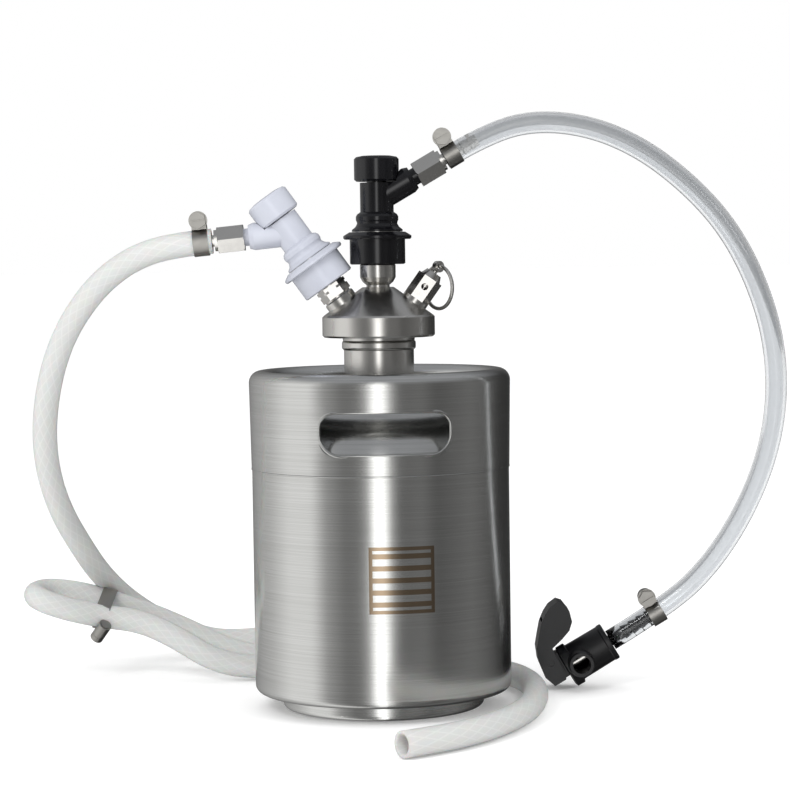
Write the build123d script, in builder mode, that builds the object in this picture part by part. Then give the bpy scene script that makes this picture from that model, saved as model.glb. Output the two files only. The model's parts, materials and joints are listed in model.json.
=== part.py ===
"""A stainless mini beer keg with a screwed dispensing head, two ball lock disconnects, a gas hose,
a clear liquid hose and a squeeze tap. Millimetres, +Z up, origin on the keg's axis at its foot."""
from build123d import *
from math import cos, pi, radians, sin, tan
import os

# Driving dimensions of the keg
KEG_RADIUS = 80.0
KEG_HEIGHT = 210.0
SEAM_HEIGHT = 149.6
SHEET = 1.2
FOOT_RADIUS = 62.8
FOOT_HEIGHT = 10.0
RIM_ROLL = 6.7
NECK_RADIUS = 21.75
NECK_BORE = 19.0
NECK_TOP = 240.0
THREAD_MAJOR = 22.4
HAND_HOLE = (78.8, 26.0)
HAND_HOLE_Z = 174.4
HAND_HOLE_TURN = 2.3

# Driving dimensions of the head
CAP_RADIUS = 35.0
CAP_BOTTOM = 230.0
CAP_EDGE = 243.6
CAP_TOP = 260.9
CAP_ROOF = 242.0
CAP_TILT = 35.5
SEAT_RADIUS = 22.5
SEAT_HEIGHT = 251.8
POST_RADIUS = 8.75
POST_NOSE = 24.0
POST_BORE = 5.6
GAS_SKIRT = 13.4
LIQUID_SKIRT = 275.0
DIP_TUBE_END = 18.0

# Driving dimensions of a ball lock disconnect, heights from the bottom of its skirt
SLEEVE_RADIUS = 14.0
SLEEVE_BORE = 8.95
BALL_RADIUS = 2.9
BALL_RING = 11.1
BALL_HEIGHT = 7.0
CAP_FOOT = 51.3
QD_TOP = 67.1
OUTLET_HEIGHT = 40.3
HOSE_START = 49.0

# Hoses and tap
LIQUID_HOSE_DIA = 13.4
GAS_HOSE_DIA = 15.8
BAND_WIDTH = 9.5
BAND_SHEET = 0.8
SCREW_OFFSET = 5.5
TAP_LEAN = 30.7
TAP_WIDTH = 22.0
TAP_PIN_RADIUS = 2.0

LIQUID_ROUTE = [
    (42.4, 0, 339.8), (65.5, 0, 353.1), (95, 0, 362.5), (130, 0, 359.5), (163, 0, 345.8),
    (193, 0, 322.8), (217.5, 0, 295.5), (235, 1, 262.5), (247, 7, 225.5), (250.5, 16, 187),
    (245.5, 27, 149.5), (232.5, 38.5, 113.5), (213.5, 49, 80.5), (188, 54, 53.8), (147.3, 54, 29.6),
]
GAS_ROUTE = [
    (-102.5, 0, 290.8), (-128, 0, 288.4), (-151, 3, 281.5), (-172, 10, 267.5), (-190, 20, 247),
    (-203, 31, 224.5), (-212, 43, 198), (-217, 57, 169), (-216.5, 71, 141.5), (-211, 89, 115),
    (-202.5, 112, 92), (-192, 144, 66), (-175, 176, 42), (-150, 199, 22), (-118, 213, 8.5),
    (-84, 229, 8), (-48, 233, 8), (-13, 232, 8), (15, 212, 8), (26, 179, 8), (15, 146, 8),
    (-13, 126, 8), (-47, 125, 8), (-80, 132, 8.5),
    (-108, 144, 14), (-134, 152, 26), (-160, 152, 37.5), (-187, 144.5, 48), (-207, 147, 53.5),
    (-227, 143.5, 56.5), (-236, 127, 56), (-228, 111.5, 53), (-209, 112, 46.5), (-188, 121, 40.5),
    (-163, 122, 37), (-138, 111, 27), (-113, 99.5, 13), (-88, 98.5, 8), (-50, 104, 8),
    (-10, 106, 8), (30, 102, 8), (64, 84, 8), (86, 54, 8), (94.5, 16, 8), (94.5, -24, 8),
    (88, -64, 8), (75, -101, 8), (56, -134, 8), (33, -160, 8), (10, -176, 8),
]

os.makedirs("parts", exist_ok=True)


def save(part, name):
    """Labels a finished piece and writes it as one node."""
    part.label = name
    export_step(part, f"parts/{name}.step")


def seat(origin, axis, across):
    """A plane at origin whose normal is a round piece's axis and whose x_dir is across it."""
    return Plane(origin=origin, x_dir=across, z_dir=axis)


def half_section(base):
    """The plane through a seat's axis, with radius along x and height along y."""
    return Plane(origin=base.origin, x_dir=base.x_dir, z_dir=-base.y_dir)


def turned(base, *outlines):
    """A solid, or several, turned from closed (radius, height) outlines about a seat's axis."""
    with BuildPart() as piece:
        for outline in outlines:
            with BuildSketch(half_section(base)):
                with BuildLine():
                    Polyline(*outline, close=True)
                make_face()
            revolve(axis=Axis(base.origin, base.z_dir))
    return piece.part


def tube(base, inner, outer, low, high):
    """A plain turned tube, or a rod where inner is 0."""
    return turned(base, [(inner, low), (outer, low), (outer, high), (inner, high)])


def grooves(base, inner, outer, low, high, pitch):
    """Annular thread grooves, as a cutter between two radii."""
    count = int((high - low) / pitch)
    rings = []
    for turn in range(count):
        start = low + turn * pitch + 0.3 * pitch
        rings.append([(inner, start), (outer, start), (outer, start + pitch / 2), (inner, start + pitch / 2)])
    return turned(base, *rings)


UP = seat((0, 0, 0), (0, 0, 1), (1, 0, 0))
LEAN = radians(CAP_TILT)
GAS_AXIS = Vector(-sin(LEAN), 0, cos(LEAN))
PRV_AXIS = Vector(sin(LEAN), 0, cos(LEAN))
GAS_SEAT = seat((-SEAT_RADIUS, 0, SEAT_HEIGHT), GAS_AXIS, (cos(LEAN), 0, sin(LEAN)))
PRV_SEAT = seat((SEAT_RADIUS, 0, SEAT_HEIGHT), PRV_AXIS, (cos(LEAN), 0, -sin(LEAN)))
LIQUID_QD = UP.offset(LIQUID_SKIRT)
GAS_QD = GAS_SEAT.offset(GAS_SKIRT)


# ---------------------------------------------------------------- keg
def lower_shell():
    """Drawn body shell: flat base, small corner radius, straight wall and a weld bead at the seam."""
    middle = KEG_RADIUS - SHEET / 2
    corner = 4.0
    base = FOOT_HEIGHT + SHEET / 2
    with BuildPart() as shell:
        with BuildSketch(Plane.XZ):
            with BuildLine():
                Line((0, base), (middle - corner, base))
                RadiusArc((middle - corner, base), (middle, base + corner), -corner)
                Line((middle, base + corner), (middle, SEAM_HEIGHT))
            trace(line_width=SHEET)
        revolve(axis=Axis.Z)
        with BuildSketch(Plane.XZ):
            with Locations((KEG_RADIUS, SEAM_HEIGHT - 0.5)):
                Circle(0.5)
        revolve(axis=Axis.Z)
    return shell.part


def foot_ring():
    """Rolled foot ring welded under the base, with a flat underside."""
    outer = FOOT_RADIUS - SHEET / 2
    roll = 2.4
    low = SHEET / 2
    inner = outer - 2 * roll - 1.6
    with BuildPart() as ring:
        with BuildSketch(Plane.XZ):
            with BuildLine():
                Line((outer, FOOT_HEIGHT), (outer, low + roll))
                RadiusArc((outer, low + roll), (outer - roll, low), roll)
                Line((outer - roll, low), (inner + roll, low))
                RadiusArc((inner + roll, low), (inner, low + roll), roll)
                Line((inner, low + roll), (inner, low + 2 * roll))
            trace(line_width=SHEET)
        revolve(axis=Axis.Z)
    return ring.part


def upper_skirt():
    """Carrying skirt above the seam: slight flare, rim rolled inwards, a hand hole on two sides."""
    foot = KEG_RADIUS + 0.3 - SHEET / 2
    flare = 0.9
    crest = KEG_HEIGHT - SHEET / 2 - RIM_ROLL
    width, height = HAND_HOLE
    with BuildPart() as skirt:
        with BuildSketch(Plane.XZ):
            with BuildLine():
                Line((foot, SEAM_HEIGHT + 0.05), (foot + flare, crest))
                ThreePointArc(
                    (foot + flare, crest),
                    (foot + flare - RIM_ROLL, crest + RIM_ROLL),
                    (foot + flare - 2 * RIM_ROLL, crest),
                )
            trace(line_width=SHEET)
        revolve(axis=Axis.Z)
        for turn in (HAND_HOLE_TURN, HAND_HOLE_TURN + 180):
            facing = Vector(sin(radians(turn)), -cos(radians(turn)), 0)
            across = Vector(cos(radians(turn)), sin(radians(turn)), 0)
            side = Plane(origin=(0, 0, HAND_HOLE_Z), x_dir=across, z_dir=facing)
            with BuildSketch(side.offset(KEG_RADIUS / 2)) as hole:
                Rectangle(width, height)
                fillet(hole.vertices().group_by(Axis.Z)[-1], 9.0)
                fillet(hole.vertices().group_by(Axis.Z)[0], 12.9)
            extrude(amount=KEG_RADIUS, mode=Mode.SUBTRACT)
    return skirt.part


def top_dome():
    """Domed top of the vessel, with a flange inside the seam and the neck's hole."""
    rim = KEG_RADIUS - SHEET - SHEET / 2
    with BuildPart() as dome:
        with BuildSketch(Plane.XZ):
            with BuildLine():
                Line((rim, SEAM_HEIGHT - 8), (rim, SEAM_HEIGHT + 0.4))
                knuckle = JernArc((rim, SEAM_HEIGHT + 0.4), (0, 1), 30, 25)
                TangentArc(knuckle @ 1, (20.5, 205.6), tangent=knuckle % 1)
            trace(line_width=SHEET)
        revolve(axis=Axis.Z)
        Cylinder(NECK_RADIUS, 2 * KEG_HEIGHT, mode=Mode.SUBTRACT)
    return dome.part


def neck():
    """Turned neck: welded tube, round bead and threaded mouth."""
    tube_top, bead_top, bead = 222.0, 228.0, 23.0
    with BuildPart() as mouth:
        with BuildSketch(Plane.XZ):
            with BuildLine():
                Polyline(
                    (bead - 2, tube_top), (NECK_RADIUS, tube_top), (NECK_RADIUS, 201),
                    (NECK_BORE, 201), (NECK_BORE, NECK_TOP), (THREAD_MAJOR, NECK_TOP),
                    (THREAD_MAJOR, bead_top), (bead - 2, bead_top),
                )
                Line((bead - 2, bead_top), (bead - 2, tube_top))
            make_face()
            with Locations((bead - 1.9, (tube_top + bead_top) / 2)):
                RectangleRounded(3.8, bead_top - tube_top, 1.85)
        revolve(axis=Axis.Z)
        add(grooves(UP, THREAD_MAJOR - 0.8, THREAD_MAJOR + 1, 230, NECK_TOP, 4), mode=Mode.SUBTRACT)
    return mouth.part


# ---------------------------------------------------------------- head
def cap_body():
    """Screwed cap: thick collar over the neck's thread and a cone with three drilled seats."""
    edge = 1.2
    top_flat = 9.8
    minor = THREAD_MAJOR + 0.4
    with BuildPart() as cap:
        with BuildSketch(Plane.XZ):
            with BuildLine():
                Polyline(
                    (minor, CAP_BOTTOM), (CAP_RADIUS - edge, CAP_BOTTOM), (CAP_RADIUS, CAP_BOTTOM + edge),
                    (CAP_RADIUS, CAP_EDGE - edge), (CAP_RADIUS - edge, CAP_EDGE), (top_flat, CAP_TOP),
                    (0, CAP_TOP), (0, CAP_ROOF), (minor, CAP_ROOF), close=True,
                )
            make_face()
        revolve(axis=Axis.Z)
        add(tube(GAS_SEAT, 0, 10, -4, 0))
        add(tube(PRV_SEAT, 0, 8.6, -4, 0))
        add(grooves(UP, minor - 1, minor + 0.8, CAP_BOTTOM + 1, CAP_ROOF - 1.5, 4), mode=Mode.SUBTRACT)
        add(tube(UP, 0, 4.1, CAP_ROOF - 1, CAP_TOP), mode=Mode.SUBTRACT)
        add(tube(UP, 0, 7.1, 247, CAP_TOP + 1), mode=Mode.SUBTRACT)
        add(tube(GAS_SEAT, 0, 6.25, -5, 1), mode=Mode.SUBTRACT)
        add(tube(GAS_SEAT, 0, 2.5, -16, 1), mode=Mode.SUBTRACT)
        add(tube(PRV_SEAT, 0, 5.1, -4, 1), mode=Mode.SUBTRACT)
        add(tube(PRV_SEAT, 0, 2.0, -16, 1), mode=Mode.SUBTRACT)
    return cap.part


def post_nose(skirt):
    """Outline of a ball lock post above the disconnect's skirt height, bore side left to the caller."""
    ball_groove = [
        (POST_RADIUS, skirt + BALL_HEIGHT - 2.2), (7.9, skirt + BALL_HEIGHT - 0.9),
        (7.9, skirt + BALL_HEIGHT + 0.9), (POST_RADIUS, skirt + BALL_HEIGHT + 2.2),
    ]
    ring_groove = [
        (POST_RADIUS, skirt + 14.8), (6.9, skirt + 14.8), (6.9, skirt + 17.2), (POST_RADIUS, skirt + 17.2),
    ]
    top = skirt + POST_NOSE
    return ball_groove + ring_groove + [
        (POST_RADIUS, top - 1.2), (POST_RADIUS - 1.2, top), (4.6, top), (4.6, top - 3), (POST_BORE, top - 3),
    ]


def liquid_post():
    """Post of the liquid side, screwed into the middle of the cap."""
    outline = [
        (POST_BORE, 249.8), (7.0, 249.8), (7.25, 258), (7.25, 262.2), (9.6, 264.2), (11.1, 267),
        (11.1, 274.4), (10.6, LIQUID_SKIRT), (POST_RADIUS, LIQUID_SKIRT),
    ]
    body = turned(UP, outline + post_nose(LIQUID_SKIRT))
    neck_cut = tube(UP, 7.0, 7.4, 249, CAP_TOP)
    return body - neck_cut


def gas_post():
    """Post of the gas side: round boss, notched hexagon for the spanner, then the same nose."""
    across_flats = 17.5
    with BuildPart() as post:
        outline = [
            (4.0, -5), (6.15, -5), (6.15, 0), (10, 0), (10, 3.2), (9.2, 4), (POST_RADIUS, 4),
        ]
        add(turned(GAS_SEAT, outline + post_nose(GAS_SKIRT) + [(POST_BORE, 5), (4.0, 5)]))
        with BuildSketch(GAS_SEAT.offset(5)):
            RegularPolygon(across_flats / 2, 6, major_radius=False)
            Circle(POST_BORE + 0.4, mode=Mode.SUBTRACT)
        extrude(amount=GAS_SKIRT - 5.6)
        add(grooves(GAS_SEAT, 9.2, 12, 8.2, 11.2, 3), mode=Mode.SUBTRACT)
    return post.part


def post_parts(base, side, skirt):
    """Rubber ring round a post's nose, and its poppet and spring, held open by the disconnect."""
    with BuildPart() as ring:
        with BuildSketch(half_section(base)):
            with Locations((7.9, skirt + 16)):
                Circle(0.98)
        revolve(axis=Axis(base.origin, base.z_dir))
    save(ring.part, f"{side}_post_oring")
    disc = skirt + 11
    stem = [
        (0, disc - 8), (1.4, disc - 8), (1.4, disc), (5.2, disc), (5.2, disc + 1.6),
        (2.4, disc + 2.8), (0, disc + 2.8),
    ]
    save(turned(base, stem), f"{side}_poppet")
    low = 250.2 if side == "liquid" else 5.2
    save(tube(base, 3.6, 5.0, low, disc - 0.3), f"{side}_poppet_spring")


def pressure_relief_valve():
    """Relief valve: hexagon body with a vent, spring-loaded stem with its seal, and a pull ring."""
    with BuildPart() as body:
        with BuildSketch(PRV_SEAT.offset(2)):
            RegularPolygon(7.25, 6, major_radius=False)
        extrude(amount=15.5)
        add(tube(PRV_SEAT, 0, 8.4, 0, 2.01))
        add(tube(PRV_SEAT, 0, 5.0, -4, 0.01))
        add(turned(PRV_SEAT, [(0, 17.49), (6.8, 17.49), (5.0, 21.5), (0, 21.5)]))
        add(tube(PRV_SEAT, 0, 2.5, -5, 4.01), mode=Mode.SUBTRACT)
        add(tube(PRV_SEAT, 0, 5.2, 4, 18.5), mode=Mode.SUBTRACT)
        add(tube(PRV_SEAT, 0, 1.65, 18, 25), mode=Mode.SUBTRACT)
        vent = Plane(origin=PRV_SEAT.origin + PRV_AXIS * 11, x_dir=(1, 0, 0), z_dir=(0, -1, 0))
        add(tube(vent, 0, 2.2, 3, 12), mode=Mode.SUBTRACT)
    save(body.part, "prv_body")
    eye = Plane(origin=PRV_SEAT.origin + PRV_AXIS * 26, x_dir=(0.62, -0.78, 0), z_dir=(0.78, 0.62, 0))
    bore = Plane(origin=eye.origin, x_dir=(0, 0, 1), z_dir=eye.x_dir)
    stem = turned(PRV_SEAT, [(0, 6.8), (4.6, 6.8), (4.6, 8.4), (1.6, 8.4), (1.6, 23.2), (0, 23.2)])
    with BuildPart() as lug:
        with BuildSketch(bore.offset(-1.6)):
            Circle(3.6)
            Circle(1.9, mode=Mode.SUBTRACT)
        extrude(amount=3.2)
    save(stem + lug.part, "prv_stem")
    save(tube(PRV_SEAT, 1.9, 4.4, 4.2, 6.6), "prv_seal")
    save(tube(PRV_SEAT, 2.4, 4.6, 10.8, 18), "prv_spring")
    mean, wire = 13.2, 1.15
    hang = Plane(origin=eye.origin - Vector(0, 0, mean - 0.4), x_dir=eye.x_dir, z_dir=eye.z_dir)
    with BuildPart() as ring:
        with BuildSketch(Plane(origin=hang.origin, x_dir=hang.x_dir, z_dir=-hang.y_dir)):
            with Locations((mean, 0)):
                Circle(wire)
        revolve(axis=Axis(hang.origin, hang.z_dir))
    save(ring.part, "prv_ring")
    print("prv eye", eye.origin, "hinge axis", eye.x_dir)


# ---------------------------------------------------------------- disconnects
def disconnect(side, base, outlet_axis):
    """One ball lock disconnect with its nut and barb; base is the plane of its skirt's bottom."""
    outlet = seat(base.origin + base.z_dir * OUTLET_HEIGHT, outlet_axis, (0, -1, 0))
    chamber = 6.4
    with BuildPart() as body:
        add(turned(base, [
            (SLEEVE_BORE, 1.6), (SLEEVE_BORE + 0.6, 1), (SLEEVE_RADIUS, 1), (SLEEVE_RADIUS, 20.4),
            (15.8, 20.4), (15.8, 21.4), (13.6, 23.2), (12.5, 25.2), (12.7, 26.4), (13.2, 27.4),
            (13.2, 29.6), (12.4, 31), (10.4, 32.4), (10.4, 50.5), (0, 50.5),
            (0, 24.6), (SLEEVE_BORE, 24.6),
        ]))
        add(tube(outlet, 0, 8.5, 4, 23))
        add(turned(outlet, [(0, 22.9), (8.5, 22.9), (7.4, 26), (5.4, 26), (5.4, 38), (0, 38)]))
        add(grooves(outlet, 4.8, 6, 29, 37.5, 1.6), mode=Mode.SUBTRACT)
        add(tube(base, 0, 14.3, 51.0, QD_TOP + 1), mode=Mode.SUBTRACT)
        add(tube(base, 0, chamber, 29, 51), mode=Mode.SUBTRACT)
        add(tube(base, 0, 2.8, 24, 30), mode=Mode.SUBTRACT)
        add(tube(outlet, 0, 2.6, 4, 39), mode=Mode.SUBTRACT)
        for turn in range(4):
            ray = base.x_dir.rotate(Axis((0, 0, 0), base.z_dir), 90 * turn + 45)
            hole = seat(base.origin + base.z_dir * BALL_HEIGHT, ray, base.z_dir)
            add(tube(hole, 0, BALL_RADIUS + 0.05, 5, 16), mode=Mode.SUBTRACT)
    save(body.part, f"{side}_qd_body")

    with BuildPart() as balls:
        for turn in range(4):
            ray = base.x_dir.rotate(Axis((0, 0, 0), base.z_dir), 90 * turn + 45)
            with Locations(base.origin + base.z_dir * BALL_HEIGHT + ray * BALL_RING):
                Sphere(BALL_RADIUS)
    save(balls.part, f"{side}_lock_balls")

    save(turned(base, [
        (0, 45), (6.2, 45), (6.2, CAP_FOOT), (12.6, CAP_FOOT), (13.9, CAP_FOOT + 1.2),
        (13.9, QD_TOP - 2), (12.6, QD_TOP - 0.7), (9, QD_TOP), (0, QD_TOP),
    ]), f"{side}_qd_cap")
    save(turned(base, [
        (15.6, 0.6), (16.2, 0), (17.2, 0.6), (17.2, 15.5), (20.4, 15.5), (21.2, 16.3), (21.2, 17.6),
        (20.4, 18.2), (17.4, 20), (16.3, 20), (16.3, 13.5), (14.3, 13.5), (14.3, 5.5), (15.6, 5.5),
    ]), f"{side}_qd_collar")
    save(tube(base, 14.4, 15.8, 17.3, 20.2), f"{side}_collar_spring")
    save(turned(base, [(0, 14), (1.6, 14), (1.6, 30), (4.5, 30), (4.5, 33), (0, 33)]), f"{side}_valve_pin")
    save(tube(base, 3.0, 4.4, 33.2, 44.8), f"{side}_pin_spring")

    with BuildPart() as nut:
        with BuildSketch(outlet.offset(29)):
            RegularPolygon(8.0, 6, major_radius=False)
        extrude(amount=16.5)
        add(turned(outlet, [(8.4, 29), (9.6, 29), (9.6, 29.8)]), mode=Mode.SUBTRACT)
        add(turned(outlet, [(8.4, 45.5), (9.6, 44.7), (9.6, 45.5)]), mode=Mode.SUBTRACT)
        add(tube(outlet, 0, 6.6, 45.4, 47.5))
        add(tube(outlet, 0, 5.8, 28, 43), mode=Mode.SUBTRACT)
        add(tube(outlet, 0, 3.8, 42, 48), mode=Mode.SUBTRACT)
    save(nut.part, f"{side}_swivel_nut")

    stem = [(2.0, 38.1), (5.3, 38.1), (5.3, 42.4), (3.6, 42.8)]
    for tooth in range(4):
        start = 50 + 5.5 * tooth
        stem += [(3.6, start), (4.6, start + 0.4), (3.7, start + 5.5)]
    save(turned(outlet, stem + [(2.0, 72)]), f"{side}_hose_barb")
    return outlet


def worm_clamp(name, centre, along, above, bore, screw_side):
    """Worm drive clamp round one hose: band with its screw housing, and the worm screw."""
    ring = seat(centre, along, above)
    outer = bore + BAND_SHEET
    rise = bore + SCREW_OFFSET
    screw_centre = Vector(centre) + Vector(above) * rise
    screw = seat(screw_centre, screw_side, above)
    with BuildPart() as band:
        add(tube(ring, bore, outer, -BAND_WIDTH / 2, BAND_WIDTH / 2))
        add(tube(screw, 0, 4.9, -6, 4.4))
        with BuildSketch(ring.offset(-4.6)):
            with Locations((rise - 3.4, 0)):
                Rectangle(4.4, 10.4)
        extrude(amount=9.2)
        add(tube(screw, 0, 3.85, -7, 6), mode=Mode.SUBTRACT)
        add(tube(ring, 0, bore, -BAND_WIDTH, BAND_WIDTH), mode=Mode.SUBTRACT)
    save(band.part, f"{name}_clamp_band")
    with BuildPart() as bolt:
        add(turned(screw, [(0, -6.4), (3.75, -6.4), (3.75, 5.3), (5.8, 5.3), (5.8, 6.6), (0, 6.6)]))
        with BuildSketch(screw.offset(6.5)):
            RegularPolygon(4.6, 6, major_radius=False)
        extrude(amount=3.6)
        with BuildSketch(screw.offset(8.7)):
            Rectangle(1.3, 12)
        extrude(amount=2, mode=Mode.SUBTRACT)
    save(bolt.part, f"{name}_clamp_screw")


def loop_clamp():
    """Slack worm clamp that gathers two legs of the gas hose where it is folded back."""
    front = Vector(-188, 122.0, 40.6)
    rear = Vector(-188, 143.4, 47.6)
    spread = (rear - front).normalized()
    centre = (front + rear) * 0.5
    ring = Plane(origin=centre, x_dir=spread, z_dir=(-0.97, 0, 0.24))
    reach = (rear - front).length
    bore = GAS_HOSE_DIA / 2 + 0.5
    housing = front + Vector(0, -0.80, -0.60) * (bore + 4.2)
    screw = Plane(origin=housing, x_dir=(0, -0.8, -0.6), z_dir=(-0.5, 0.52, -0.693))
    with BuildPart() as band:
        with BuildSketch(ring.offset(-BAND_WIDTH / 2)):
            SlotCenterToCenter(reach, 2 * (bore + BAND_SHEET))
            SlotCenterToCenter(reach, 2 * bore, mode=Mode.SUBTRACT)
        extrude(amount=BAND_WIDTH)
        add(tube(screw, 0, 4.4, -5, 5))
        with BuildSketch(ring.offset(-BAND_WIDTH / 2)):
            SlotCenterToCenter(reach, 2 * bore)
        extrude(amount=BAND_WIDTH, mode=Mode.SUBTRACT)
        add(tube(screw, 0, 3.3, -6, 6), mode=Mode.SUBTRACT)
    save(band.part, "loop_clamp_band")
    bolt = turned(screw, [(0, -5.4), (3.2, -5.4), (3.2, 5.2), (4.4, 5.2), (4.4, 9), (0, 9)])
    save(bolt, "loop_clamp_screw")


# ---------------------------------------------------------------- tap
LEAN_TAP = radians(TAP_LEAN)
TAP_ALONG = Vector(-cos(LEAN_TAP), 0, -sin(LEAN_TAP))
TAP_SIDE = Plane(origin=(147.0, 54.0, 29.4), x_dir=TAP_ALONG, z_dir=(0, 1, 0))
TAP_ROUND = seat(TAP_SIDE.origin, TAP_ALONG, TAP_SIDE.y_dir)
PIVOT = (40.0, 9.0)


def tap_block(outline, half_width, hole=0.0):
    """A block with a side outline in the tap's plane, centred on its width."""
    with BuildPart() as block:
        with BuildSketch(TAP_SIDE.offset(-half_width)):
            with BuildLine():
                Polyline(*outline, close=True)
            make_face()
            if hole:
                with Locations(PIVOT):
                    Circle(hole, mode=Mode.SUBTRACT)
        extrude(amount=2 * half_width)
    return block.part


def tap_body():
    """Moulded tap: hose barb, round body, spout towards the front, and an ear for the lever."""
    barb = [(0, -39), (3.0, -39)]
    for tooth in range(5):
        start = -39 + 6 * tooth
        barb += [(3.4, start + 0.2), (4.7, start + 5.0), (3.6, start + 5.4)]
    outline = barb + [
        (3.6, 0), (12.0, 0), (12.7, 0.7), (12.7, 3), (12.3, 3.6), (12.6, 26.6), (14.4, 27.4),
        (14.4, 32.6), (12.6, 33.5), (0, 33.5),
    ]
    spout_centre = TAP_SIDE.origin + TAP_ALONG * 23.4
    spout = seat(spout_centre, (0, -1, 0), TAP_ALONG)
    ear = [
        (33.4, -4.6), (38.0, -4.6), (38.0, 4.6), (43, 6.6), (43.4, 9), (42.4, 11.4), (40, 12.4),
        (33.4, 12.4),
    ]
    with BuildPart() as body:
        add(turned(TAP_ROUND, outline))
        add(turned(spout, [(0, 0), (8.7, 0), (8.3, 22), (7.6, 24), (0, 24)]))
        add(tap_block(ear, 7.0, TAP_PIN_RADIUS + 0.05))
        add(tube(TAP_ROUND, 0, 2.6, -40, 8), mode=Mode.SUBTRACT)
        add(tube(TAP_ROUND, 0, 8.0, 6, 31), mode=Mode.SUBTRACT)
        add(tube(TAP_ROUND, 0, 2.08, 30, 44), mode=Mode.SUBTRACT)
        add(tube(spout, 0, 5.7, 0, 25), mode=Mode.SUBTRACT)
    save(body.part, "tap_body")


def tap_lever():
    """Squeeze lever: a channel whose web is the thumb pad and whose cheeks hold the pivot."""
    outside = [
        (16, 41), (22, 40.4), (27, 38), (32.5, 34), (37, 29), (43, 22), (46.4, 14), (48, 3), (45.4, -5),
    ]
    inside = [
        (37, -5), (35, 0), (34.8, 12), (34.2, 16.8), (26, 18.6),
        (19, 21), (14.5, 25), (12.5, 31.5), (13.4, 38),
    ]
    pocket = [(30, 0), (30, 40), (34, 27), (40, 19.5), (43.6, 12.5), (44.9, 3), (43.8, -8), (30, -8)]
    web = [(38.8, -4), (41.0, -4), (41.0, 3), (38.8, 3)]
    half = TAP_WIDTH / 2
    grip = tap_block(outside + inside, half, TAP_PIN_RADIUS + 0.08) - tap_block(pocket, half - 3)
    lever = grip + tap_block(web, half - 2.9)
    lever = lever - tube(TAP_ROUND, 0, 2.7, 38, 42)
    save(lever, "tap_lever")


def tap_inside():
    """Pivot pin, plunger pulled by the lever, its rubber seal and its return spring."""
    pin = Plane(
        origin=TAP_SIDE.origin + TAP_ALONG * PIVOT[0] + TAP_SIDE.y_dir * PIVOT[1],
        x_dir=(1, 0, 0),
        z_dir=(0, 1, 0),
    )
    half = TAP_WIDTH / 2
    save(tube(pin, 0, TAP_PIN_RADIUS, -half + 0.4, half - 0.4), "tap_pin")
    save(turned(TAP_ROUND, [
        (0, 8.2), (4.6, 8.2), (4.6, 11), (2.0, 11.4), (2.0, 41.9), (3.6, 41.9), (3.6, 44), (0, 44),
    ]), "tap_plunger")
    save(tube(TAP_ROUND, 0, 5.0, 6.2, 8.0), "tap_seal")
    save(tube(TAP_ROUND, 2.8, 4.6, 14.4, 30.8), "tap_spring")
    print("tap pin", pin.origin, "along", TAP_ALONG)


# ---------------------------------------------------------------- hoses
def hose(name, route, diameter):
    """A hose laid along straight runs joined by the largest arcs that fit."""
    points = [Vector(*point) for point in route]
    runs = [(after - before).length for before, after in zip(points, points[1:])]
    radii = []
    for corner in range(1, len(points) - 1):
        ahead = points[corner + 1] - points[corner]
        behind = points[corner] - points[corner - 1]
        half_turn = radians(ahead.get_angle(behind)) / 2
        radii.append(0.45 * min(runs[corner - 1], runs[corner]) / tan(half_turn))
    with BuildLine() as path:
        FilletPolyline(*points, radius=radii)
    with BuildPart() as piece:
        with BuildSketch(Plane(origin=points[0], z_dir=path.line % 0)):
            Circle(diameter / 2)
        sweep(path=path.line)
    length = sum(edge.length for edge in path.edges())
    expected = pi * diameter ** 2 / 4 * length
    print(name, "length", round(length, 1), "volume ratio", round(piece.part.volume / expected, 4))
    print(name, "bend radii", [round(radius) for radius in radii])
    save(piece.part, name)


save(lower_shell(), "lower_shell")
save(foot_ring(), "foot_ring")
save(upper_skirt(), "upper_skirt")
save(top_dome(), "top_dome")
save(neck(), "neck")
save(tube(UP, 20.0, THREAD_MAJOR, NECK_TOP + 0.1, CAP_ROOF - 0.1), "cap_gasket")
save(cap_body(), "cap_body")
save(turned(UP, [
    (3.2, DIP_TUBE_END), (4.0, DIP_TUBE_END), (4.0, 247.1), (6.8, 247.1), (6.8, 248.3), (3.2, 248.3),
]), "dip_tube")
save(tube(UP, 4.2, 6.8, 248.35, 249.75), "dip_tube_oring")
save(liquid_post(), "liquid_post")
save(gas_post(), "gas_post")
post_parts(UP, "liquid", LIQUID_SKIRT)
post_parts(GAS_SEAT, "gas", GAS_SKIRT)
pressure_relief_valve()

LIQUID_OUTLET = disconnect("liquid", LIQUID_QD, Vector(sin(radians(60)), 0, cos(radians(60))))
GAS_OUTLET = disconnect("gas", GAS_QD, Vector(-sin(LEAN + radians(60)), 0, cos(LEAN + radians(60))))

for side, outlet, reach, diameter in (
    ("liquid", LIQUID_OUTLET, 54.0, LIQUID_HOSE_DIA), ("gas", GAS_OUTLET, 56.0, GAS_HOSE_DIA)
):
    along = outlet.z_dir
    above = Vector(-along.Z, 0, along.X) if along.X > 0 else Vector(along.Z, 0, -along.X)
    worm_clamp(side, outlet.origin + along * reach, along, above, diameter / 2 + 0.05, (0, -1, 0))
    print(side, "outlet", outlet.origin, "along", along, "hose start", outlet.origin + along * HOSE_START)
tap_clamp = TAP_SIDE.origin - TAP_ALONG * 34.5
worm_clamp("tap", tap_clamp, TAP_ALONG, TAP_SIDE.y_dir, LIQUID_HOSE_DIA / 2 + 0.05, (0, -1, 0))
loop_clamp()

tap_body()
tap_lever()
tap_inside()
hose("liquid_hose", LIQUID_ROUTE, LIQUID_HOSE_DIA)
hose("gas_hose", GAS_ROUTE, GAS_HOSE_DIA)
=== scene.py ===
import bpy
import json
from math import cos, pi, radians, sin
from mathutils import Matrix, Vector


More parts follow.
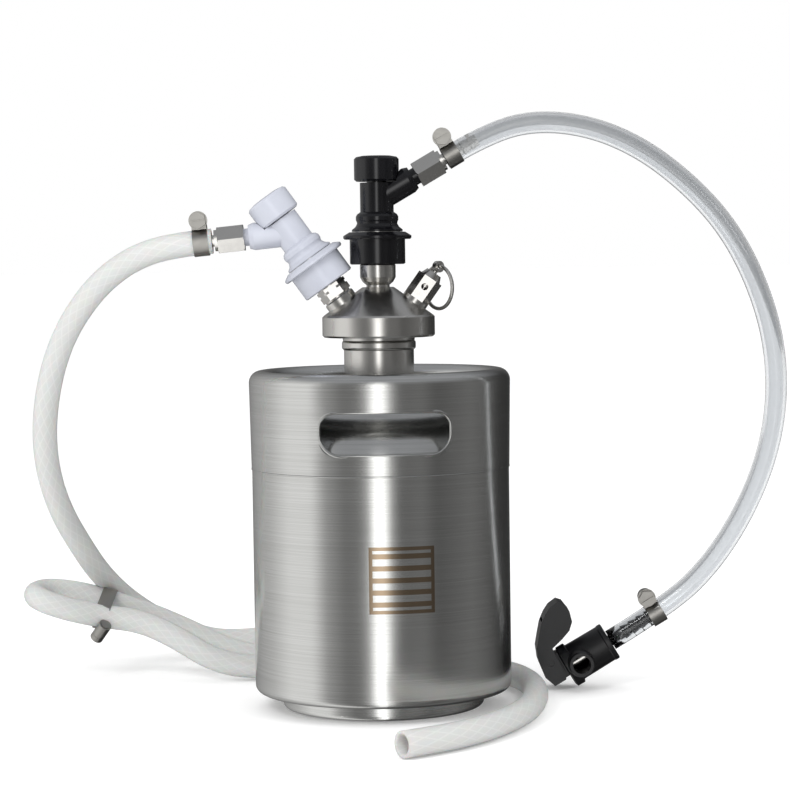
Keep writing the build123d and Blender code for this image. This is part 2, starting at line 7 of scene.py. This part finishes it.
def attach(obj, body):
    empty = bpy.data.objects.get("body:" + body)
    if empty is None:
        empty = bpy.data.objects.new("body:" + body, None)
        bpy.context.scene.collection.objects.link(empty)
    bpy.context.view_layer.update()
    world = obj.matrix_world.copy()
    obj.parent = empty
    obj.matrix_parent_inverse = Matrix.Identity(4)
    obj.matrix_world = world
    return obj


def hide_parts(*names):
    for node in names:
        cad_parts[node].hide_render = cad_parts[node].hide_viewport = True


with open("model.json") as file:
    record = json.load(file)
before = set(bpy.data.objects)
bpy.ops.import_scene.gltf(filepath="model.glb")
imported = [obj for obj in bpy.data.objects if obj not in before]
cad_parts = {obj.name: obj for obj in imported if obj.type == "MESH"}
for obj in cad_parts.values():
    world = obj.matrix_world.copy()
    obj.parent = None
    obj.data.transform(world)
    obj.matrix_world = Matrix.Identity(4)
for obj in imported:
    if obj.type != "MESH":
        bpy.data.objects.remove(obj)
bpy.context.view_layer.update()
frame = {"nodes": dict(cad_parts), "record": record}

# ---------------------------------------------------------------- studio and camera
# A small product studio: white sweep, a broad soft box on the left, a slim strip light in front
# and dark cloth on the right, which give the polished shell its upright bands.


def linear(hex_colour):
    """An sRGB hex colour as linear RGBA."""
    values = [int(hex_colour[i:i + 2], 16) / 255 for i in (1, 3, 5)]
    return [v / 12.92 if v <= 0.04045 else ((v + 0.055) / 1.055) ** 2.4 for v in values] + [1.0]


def node(tree, kind, links=None, **settings):
    """Adds a shader node. Settings are its properties or its inputs' values, links feed its inputs."""
    made = tree.nodes.new(kind)
    for name, value in settings.items():
        if hasattr(made, name):
            setattr(made, name, value)
        else:
            made.inputs[name.replace("_", " ")].default_value = value
    for name, source in (links or {}).items():
        tree.links.new(source, made.inputs[name])
    return made


def ramp_stops(ramp, stops):
    """Sets a colour ramp's stops from (position, grey or colour)."""
    elements = ramp.color_ramp.elements
    while len(elements) < len(stops):
        elements.new(0.5)
    for element, (place, tone) in zip(elements, stops):
        element.position = place
        element.color = tone if isinstance(tone, (list, tuple)) else (tone, tone, tone, 1)


scene = bpy.context.scene
scene.view_settings.view_transform = "Standard"
world = bpy.data.worlds.new("studio")
scene.world = world
world.use_nodes = True
tree = world.node_tree
tree.nodes.clear()
direction = node(tree, "ShaderNodeSeparateXYZ", {0: node(tree, "ShaderNodeTexCoord").outputs["Generated"]})
back = node(tree, "ShaderNodeMath", {0: direction.outputs["Y"]}, operation="MULTIPLY")
back.inputs[1].default_value = -1.0
azimuth = node(tree, "ShaderNodeMath", {0: direction.outputs["X"], 1: back.outputs[0]}, operation="ARCTAN2")
around = node(tree, "ShaderNodeMapRange", {"Value": azimuth.outputs[0]}, From_Min=-pi, From_Max=pi)
studio = node(tree, "ShaderNodeValToRGB", {"Fac": around.outputs[0]})
# Where the stops are: 0.25 is the left side, 0.5 straight in front, 0.75 the right side.
SOFT_BOX, STRIP, CLOTH = 0.95, 2.1, 0.15
ramp_stops(studio, [
    (0.00, 0.12), (0.10, 0.42), (0.18, 0.62), (0.25, SOFT_BOX), (0.32, SOFT_BOX), (0.36, 0.40),
    (0.41, 0.20), (0.445, 0.22), (0.470, 0.45), (0.485, STRIP), (0.507, STRIP), (0.523, 0.42),
    (0.545, CLOTH), (0.60, 0.19), (0.64, 0.11), (0.74, 0.18), (0.80, 0.13), (0.86, 0.05),
    (0.93, 0.03), (1.00, 0.12),
])
height = node(
    tree, "ShaderNodeMapRange", {"Value": direction.outputs["Z"]}, interpolation_type="SMOOTHSTEP",
    From_Min=0.25, From_Max=0.85,
)
ceiling = node(tree, "ShaderNodeMix", {"Factor": height.outputs[0]}, data_type="RGBA")
tree.links.new(studio.outputs["Color"], ceiling.inputs[6])
ceiling.inputs[7].default_value = (0.35, 0.36, 0.38, 1)
shown = node(tree, "ShaderNodeBackground", Color=(1, 1, 1, 1), Strength=1.0)
mirrored = node(tree, "ShaderNodeBackground", {"Color": ceiling.outputs[2]}, Strength=1.0)
rays = node(tree, "ShaderNodeLightPath")
# Rays bent by clear vinyl see half of the plain white, which keeps the hose pale.
WHITE_THROUGH_VINYL = 0.5
through = node(tree, "ShaderNodeMath", {0: rays.outputs["Is Transmission Ray"]}, operation="MULTIPLY")
through.inputs[1].default_value = WHITE_THROUGH_VINYL
seen = node(
    tree, "ShaderNodeMath", {0: rays.outputs["Is Glossy Ray"], 1: through.outputs[0]},
    operation="SUBTRACT", use_clamp=True,
)
blend = node(tree, "ShaderNodeMixShader", {
    0: seen.outputs[0], 1: shown.outputs[0], 2: mirrored.outputs[0],
})
node(tree, "ShaderNodeOutputWorld", {0: blend.outputs[0]})


def area_light(name, place, aim, size, power):
    """A square soft box at place, pointing at aim."""
    lamp = bpy.data.lights.new(name, "AREA")
    lamp.size = size
    lamp.energy = power
    box = bpy.data.objects.new(name, lamp)
    box.location = place
    box.visible_glossy = False
    box.rotation_euler = (Vector(aim) - Vector(place)).to_track_quat("-Z", "Y").to_euler()
    scene.collection.objects.link(box)


area_light("key_box", (-0.9, -1.3, 1.3), (0, 0, 0.2), 0.7, 14)
area_light("fill_box", (1.3, -0.9, 0.9), (0, 0, 0.25), 0.6, 5)

floor_mesh = bpy.data.meshes.new("floor")
floor_mesh.from_pydata([(-9, -3, 0), (9, -3, 0), (9, 60, 0), (-9, 60, 0)], [], [(0, 1, 2, 3)])
floor = bpy.data.objects.new("floor", floor_mesh)
floor.location.z = -0.0005
floor.visible_glossy = False
scene.collection.objects.link(floor)
paper = bpy.data.materials.new("white_paper_sweep")
paper.use_nodes = True
paper_shader = paper.node_tree.nodes["Principled BSDF"]
paper_shader.inputs["Base Color"].default_value = linear("#fbfbfb")
paper_shader.inputs["Roughness"].default_value = 0.9
paper_shader.inputs["Emission Color"].default_value = (1, 1, 1, 1)
paper_shader.inputs["Emission Strength"].default_value = 0.12
floor_mesh.materials.append(paper)

camera_data = bpy.data.cameras.new("camera")
camera_data.lens = 115.06
camera_data.sensor_width = 36
camera_data.clip_end = 100
camera = bpy.data.objects.new("camera", camera_data)
pitch, roll, yaw = radians(3.10), radians(0.80), radians(0.35)
ahead = Vector((sin(yaw) * cos(pitch), cos(yaw) * cos(pitch), -sin(pitch)))
level = Vector((cos(yaw), -sin(yaw), 0))
upright = level.cross(ahead)
right = level * cos(roll) - upright * sin(roll)
top = level * sin(roll) + upright * cos(roll)
turned = Matrix((right, top, -ahead)).transposed().to_4x4()
camera.matrix_world = Matrix.Translation((0, -1.570, 0.2786)) @ turned
scene.collection.objects.link(camera)
scene.camera = camera

# ---------------------------------------------------------------- hoses
# Two extruded PVC hoses pushed on barbs: a clear one that arches over to the tap, and a milky one
# with a yarn braid in its wall, folded back on itself and gathered by a slack worm clamp.


def material(name):
    """A new node material: its tree and its principled shader."""
    made = bpy.data.materials.new(name)
    made.use_nodes = True
    return made, made.node_tree, made.node_tree.nodes["Principled BSDF"]


def hose(name, route, diameter, wall, skin):
    """A hose as a smooth NURBS line through a route's corners, with a wall of real thickness."""
    curve = bpy.data.curves.new(name, "CURVE")
    curve.dimensions = "3D"
    curve.bevel_depth = diameter / 2
    curve.bevel_resolution = 7
    spline = curve.splines.new("NURBS")
    spline.points.add(len(route) - 1)
    for point, place in zip(spline.points, route):
        point.co = (*place, 1)
    spline.order_u = 3
    spline.use_endpoint_u = True
    spline.resolution_u = 10
    piece = bpy.data.objects.new(name, curve)
    scene.collection.objects.link(piece)
    curve.materials.append(skin)
    shell = piece.modifiers.new("wall", "SOLIDIFY")
    shell.thickness = wall
    shell.offset = -1
    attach(piece, "head")
    return piece


clear_pvc, tree, pvc = material("clear_pvc")
# Water-clear vinyl: edges go bluish grey, the bore shows as a paler stripe, scuffs dull the gloss.
pvc.inputs["Base Color"].default_value = linear("#e3e5e7")
pvc.inputs["Transmission Weight"].default_value = 1.0
pvc.inputs["IOR"].default_value = 1.45
place = node(tree, "ShaderNodeTexCoord")
scuffs = node(tree, "ShaderNodeTexNoise", {"Vector": place.outputs["Object"]}, Scale=60.0)
dull = node(tree, "ShaderNodeMapRange", {"Value": scuffs.outputs[0]}, To_Min=0.02, To_Max=0.12)
tree.links.new(dull.outputs[0], pvc.inputs["Roughness"])

liquid_route = [
    (0.0424, 0, 0.3398), (0.0655, 0, 0.3531), (0.095, 0, 0.3625), (0.130, 0, 0.3595),
    (0.163, 0, 0.3458), (0.193, 0, 0.3228), (0.2175, 0, 0.2955), (0.235, 0.001, 0.2625),
    (0.247, 0.007, 0.2255), (0.2505, 0.016, 0.187), (0.2455, 0.027, 0.1495), (0.2325, 0.0385, 0.1135),
    (0.2135, 0.049, 0.0805), (0.188, 0.054, 0.0538), (0.1473, 0.054, 0.0296),
]
liquid_hose = hose("clear_liquid_hose", liquid_route, 0.0134, 0.0019, clear_pvc)
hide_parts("liquid_hose")

milky_pvc, tree, pvc = material("braided_milky_pvc")
# Milky vinyl over a white yarn braid: a faint net of crossing threads, soft satin gloss.
pvc.inputs["Transmission Weight"].default_value = 0.25
pvc.inputs["Subsurface Weight"].default_value = 0.25
pvc.inputs["Subsurface Scale"].default_value = 0.004
pvc.inputs["Roughness"].default_value = 0.28
GAS_LENGTH, BRAID_PITCH, THREADS = 1.56, 0.012, 10
along = node(tree, "ShaderNodeSeparateXYZ", {0: node(tree, "ShaderNodeTexCoord").outputs["UV"]})
yarns = []
for side in (1, -1):
    turns = node(tree, "ShaderNodeMath", {0: along.outputs["X"]}, operation="MULTIPLY")
    turns.inputs[1].default_value = 2 * pi * GAS_LENGTH / BRAID_PITCH * side
    spread = node(tree, "ShaderNodeMath", {0: along.outputs["Y"]}, operation="MULTIPLY")
    spread.inputs[1].default_value = 2 * pi * THREADS
    both = node(tree, "ShaderNodeMath", {0: turns.outputs[0], 1: spread.outputs[0]}, operation="ADD")
    wave = node(tree, "ShaderNodeMath", {0: both.outputs[0]}, operation="SINE")
    yarns.append(wave)
net = node(tree, "ShaderNodeMath", {0: yarns[0].outputs[0], 1: yarns[1].outputs[0]}, operation="MAXIMUM")
thread = node(tree, "ShaderNodeMapRange", {"Value": net.outputs[0]}, From_Min=0.75, From_Max=1.0)
tint = node(tree, "ShaderNodeValToRGB", {"Fac": thread.outputs[0]})
ramp_stops(tint, [(0, linear("#dcdddb")), (1, linear("#e4e5e3"))])
tree.links.new(tint.outputs["Color"], pvc.inputs["Base Color"])
relief = node(tree, "ShaderNodeBump", {"Height": thread.outputs[0]}, Strength=0.12, Distance=0.0002)
tree.links.new(relief.outputs[0], pvc.inputs["Normal"])

gas_route = [
    (-0.1025, 0, 0.2908), (-0.128, 0, 0.2884), (-0.151, 0.003, 0.2815), (-0.172, 0.010, 0.2675),
    (-0.190, 0.020, 0.247), (-0.203, 0.031, 0.2245), (-0.212, 0.043, 0.198), (-0.217, 0.057, 0.169),
    (-0.2165, 0.071, 0.1415), (-0.211, 0.089, 0.115), (-0.2025, 0.112, 0.092), (-0.192, 0.144, 0.066),
    (-0.175, 0.176, 0.042), (-0.150, 0.199, 0.022), (-0.118, 0.213, 0.0085), (-0.084, 0.229, 0.008),
    (-0.048, 0.233, 0.008), (-0.013, 0.232, 0.008), (0.015, 0.212, 0.008), (0.026, 0.179, 0.008),
    (0.015, 0.146, 0.008), (-0.013, 0.126, 0.008), (-0.047, 0.125, 0.008), (-0.080, 0.132, 0.0085),
    (-0.108, 0.144, 0.014), (-0.134, 0.152, 0.026), (-0.160, 0.152, 0.0375),
    (-0.187, 0.1445, 0.048), (-0.207, 0.147, 0.0535), (-0.227, 0.1435, 0.0565), (-0.236, 0.127, 0.056),
    (-0.228, 0.1115, 0.053), (-0.209, 0.112, 0.0465), (-0.188, 0.121, 0.0405), (-0.163, 0.122, 0.037),
    (-0.138, 0.111, 0.027), (-0.113, 0.0995, 0.013), (-0.088, 0.0985, 0.008), (-0.050, 0.104, 0.008),
    (-0.010, 0.106, 0.008), (0.030, 0.102, 0.008), (0.064, 0.084, 0.008), (0.086, 0.054, 0.008),
    (0.0945, 0.016, 0.008), (0.0945, -0.024, 0.008), (0.088, -0.064, 0.008), (0.075, -0.101, 0.008),
    (0.056, -0.134, 0.008), (0.033, -0.160, 0.008), (0.010, -0.176, 0.008),
]
gas_hose = hose("braided_gas_hose", gas_route, 0.0158, 0.0020, milky_pvc)
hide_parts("gas_hose")

# ---------------------------------------------------------------- keg shell
# Deep drawn stainless: two shells welded at a seam, brushed round the body on a lathe, with a rolled
# rim, rolled hand holes and a laser-etched patch.


def paint(finish, *names):
    """Gives CAD nodes a finish."""
    for name in names:
        mesh = frame["nodes"][name].data
        mesh.materials.clear()
        mesh.materials.append(finish)


brushed_steel, tree, steel = material("lathe_brushed_stainless")
# Fine hair lines run round the body, so lights smear upright; faint cloudy patches from polishing.
steel.inputs["Metallic"].default_value = 1.0
steel.inputs["Anisotropic"].default_value = 0.35
steel.inputs["Anisotropic Rotation"].default_value = 0.25
place = node(tree, "ShaderNodeTexCoord")
hairs_map = node(tree, "ShaderNodeMapping", {"Vector": place.outputs["Object"]}, Scale=(9, 9, 2600))
hairs = node(tree, "ShaderNodeTexNoise", {"Vector": hairs_map.outputs[0]}, Scale=1.0, Detail=4.0)
clouds = node(tree, "ShaderNodeTexNoise", {"Vector": place.outputs["Object"]}, Scale=22.0, Detail=3.0)
rough = node(
    tree, "ShaderNodeMapRange", {"Value": clouds.outputs[0]},
    From_Min=0.3, From_Max=0.7, To_Min=0.17, To_Max=0.23,
)
tree.links.new(rough.outputs[0], steel.inputs["Roughness"])
tone = node(tree, "ShaderNodeValToRGB", {"Fac": hairs.outputs[0]})
ramp_stops(tone, [(0.3, linear("#c9c9c6")), (0.7, linear("#d9d9d7"))])
across = node(tree, "ShaderNodeSeparateXYZ", {0: place.outputs["Object"]})
front = node(tree, "ShaderNodeMath", {0: across.outputs["Y"]}, operation="MULTIPLY")
front.inputs[1].default_value = -1.0
round_angle = node(
    tree, "ShaderNodeMath", {0: across.outputs["X"], 1: front.outputs[0]}, operation="ARCTAN2",
)
# The etched patch is a plain block of bars in a square frame, in metres on the unrolled shell.
MARK_ANGLE, MARK_HEIGHT, MARK_HALF, SHELL = 0.151, 0.0875, 0.0200, 0.080
FRAME_WIDTH, BAR_PITCH, BAR_CUT = 0.0022, 0.0072, 0.2
aside = node(tree, "ShaderNodeMath", {0: round_angle.outputs[0]}, operation="MULTIPLY_ADD")
aside.inputs[1].default_value = SHELL
aside.inputs[2].default_value = -MARK_ANGLE * SHELL
lift = node(tree, "ShaderNodeMath", {0: across.outputs["Z"]}, operation="SUBTRACT")
lift.inputs[1].default_value = MARK_HEIGHT
flat = node(tree, "ShaderNodeCombineXYZ", {"X": aside.outputs[0], "Y": lift.outputs[0]})
sizes = node(tree, "ShaderNodeVectorMath", {0: flat.outputs[0]}, operation="ABSOLUTE")
sides = node(tree, "ShaderNodeSeparateXYZ", {0: sizes.outputs[0]})
reach = node(tree, "ShaderNodeMath", {0: sides.outputs["X"], 1: sides.outputs["Y"]}, operation="MAXIMUM")
inside = node(tree, "ShaderNodeMath", {0: reach.outputs[0]}, operation="LESS_THAN")
inside.inputs[1].default_value = MARK_HALF
band = node(tree, "ShaderNodeMath", {0: reach.outputs[0]}, operation="GREATER_THAN")
band.inputs[1].default_value = MARK_HALF - FRAME_WIDTH
beat = node(tree, "ShaderNodeMath", {0: lift.outputs[0]}, operation="MULTIPLY")
beat.inputs[1].default_value = 2 * pi / BAR_PITCH
swing = node(tree, "ShaderNodeMath", {0: beat.outputs[0]}, operation="COSINE")
bar = node(tree, "ShaderNodeMath", {0: swing.outputs[0]}, operation="GREATER_THAN")
bar.inputs[1].default_value = BAR_CUT
drawn = node(tree, "ShaderNodeMath", {0: band.outputs[0], 1: bar.outputs[0]}, operation="MAXIMUM")
etched = node(tree, "ShaderNodeMath", {0: drawn.outputs[0], 1: inside.outputs[0]}, operation="MULTIPLY")
tinted = node(tree, "ShaderNodeMix", {"Factor": etched.outputs[0]}, data_type="RGBA")
tree.links.new(tone.outputs["Color"], tinted.inputs[6])
tinted.inputs[7].default_value = linear("#9a8873")
tree.links.new(tinted.outputs[2], steel.inputs["Base Color"])
grain = node(tree, "ShaderNodeBump", {"Height": hairs.outputs[0]}, Strength=0.06, Distance=0.0002)
tree.links.new(grain.outputs[0], steel.inputs["Normal"])
tangent = node(tree, "ShaderNodeTangent", direction_type="RADIAL", axis="Z")
tree.links.new(tangent.outputs[0], steel.inputs["Tangent"])
paint(brushed_steel, "lower_shell", "upper_skirt", "foot_ring", "top_dome")

# The hand holes' edges are rolled over, which shows as a bright bead all round each one.
SKIRT, HOLE_HEIGHT, HALF_WIDTH, HALF_HEIGHT = 0.0808, 0.1744, 0.0394, 0.0130
for number, turn in enumerate((radians(2.3), radians(182.3))):
    edge = []
    for corner, (aside_sign, lift_sign, bend) in enumerate((
        (1, 1, 0.009), (-1, 1, 0.009), (-1, -1, 0.0129), (1, -1, 0.0129),
    )):
        for step in range(7):
            angle = radians(90 * corner + 15 * step)
            aside_by = aside_sign * (HALF_WIDTH - bend) + bend * cos(angle)
            lift_by = lift_sign * (HALF_HEIGHT - bend) + bend * sin(angle)
            out = (SKIRT ** 2 - aside_by ** 2) ** 0.5
            edge.append((
                aside_by * cos(turn) + out * sin(turn),
                aside_by * sin(turn) - out * cos(turn),
                HOLE_HEIGHT + lift_by,
            ))
    bead = bpy.data.curves.new(f"hand_hole_lip_{number}", "CURVE")
    bead.dimensions = "3D"
    bead.bevel_depth = 0.0010
    line = bead.splines.new("POLY")
    line.points.add(len(edge) - 1)
    line.use_cyclic_u = True
    for point, spot in zip(line.points, edge):
        point.co = (*spot, 1)
    lip = bpy.data.objects.new(f"hand_hole_lip_{number}", bead)
    scene.collection.objects.link(lip)
    bead.materials.append(brushed_steel)
    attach(lip, "keg")

# ---------------------------------------------------------------- head and valves
# Turned stainless cap, posts and relief valve, polished bright with fine tool rings.


def small_steel(name, tone, gloss):
    """Steel of the small parts: its tone, its gloss, and very fine tool marks."""
    made, tree, steel = material(name)
    steel.inputs["Metallic"].default_value = 1.0
    steel.inputs["Base Color"].default_value = linear(tone)
    place = node(tree, "ShaderNodeTexCoord")
    speckle = node(tree, "ShaderNodeTexNoise", {"Vector": place.outputs["Object"]}, Scale=240.0, Detail=3.0)
    rough = node(tree, "ShaderNodeMapRange", {"Value": speckle.outputs[0]}, To_Min=gloss, To_Max=gloss + 0.1)
    tree.links.new(rough.outputs[0], steel.inputs["Roughness"])
    marks = node(tree, "ShaderNodeBump", {"Height": speckle.outputs[0]}, Strength=0.05, Distance=0.0001)
    tree.links.new(marks.outputs[0], steel.inputs["Normal"])
    return made


# Bright turned metal: sharper reflections than the shell.
bright_steel = small_steel("turned_bright_stainless", "#d2d0cc", 0.17)
# The worm clamps are rolled strip and pressed screws, greyer and duller than the turned parts.
clamp_steel = small_steel("pressed_clamp_steel", "#a8a6a1", 0.28)
slots = [(entry["node"], entry["material_slot"]) for entry in frame["record"]["subparts"]]
paint(bright_steel, *[name for name, slot in slots if slot == "bright_steel"])
paint(clamp_steel, *[name for name, slot in slots if "clamp" in name])

rubber, tree, skin = material("black_rubber")
# Matte black sealing rubber with a faint dusty bloom.
skin.inputs["Roughness"].default_value = 0.75
place = node(tree, "ShaderNodeTexCoord")
bloom = node(tree, "ShaderNodeTexNoise", {"Vector": place.outputs["Object"]}, Scale=300.0)
dust = node(tree, "ShaderNodeValToRGB", {"Fac": bloom.outputs[0]})
ramp_stops(dust, [(0.35, linear("#141414")), (0.75, linear("#2a2a2a"))])
tree.links.new(dust.outputs["Color"], skin.inputs["Base Color"])
paint(rubber, *[name for name, slot in slots if slot == "rubber"])

# ---------------------------------------------------------------- disconnects and tap
# Injection moulded fittings: glossy black on the liquid side, pale grey on the gas side, and a
# satin black squeeze tap.


def moulded(name, low, high, gloss, peel):
    """Moulded plastic: colour between two close tones, gloss, and a slight orange peel."""
    made, tree, skin = material(name)
    place = node(tree, "ShaderNodeTexCoord")
    mottle = node(tree, "ShaderNodeTexNoise", {"Vector": place.outputs["Object"]}, Scale=35.0, Detail=2.0)
    tone = node(tree, "ShaderNodeValToRGB", {"Fac": mottle.outputs[0]})
    ramp_stops(tone, [(0.3, linear(low)), (0.7, linear(high))])
    tree.links.new(tone.outputs["Color"], skin.inputs["Base Color"])
    skin.inputs["Roughness"].default_value = gloss
    skin.inputs["IOR"].default_value = 1.5
    dimples = node(tree, "ShaderNodeTexNoise", {"Vector": place.outputs["Object"]}, Scale=900.0)
    bump = node(tree, "ShaderNodeBump", {"Height": dimples.outputs[0]}, Strength=peel, Distance=0.0001)
    tree.links.new(bump.outputs[0], skin.inputs["Normal"])
    return made


# Black acetal, wet-looking with crisp highlights.
black_acetal = moulded("glossy_black_acetal", "#08080a", "#101013", 0.14, 0.05)
paint(black_acetal, "liquid_qd_body", "liquid_qd_cap", "liquid_qd_collar")
# Pale bluish grey acetal.
grey_acetal = moulded("glossy_grey_acetal", "#b3b6c1", "#bcbfc9", 0.20, 0.05)
paint(grey_acetal, "gas_qd_body", "gas_qd_cap", "gas_qd_collar")
# Satin black tap plastic with a fine spark-eroded texture.
black_polypropylene = moulded("satin_black_polypropylene", "#0b0b0d", "#141417", 0.36, 0.18)
paint(black_polypropylene, "tap_body", "tap_lever", "tap_pin")
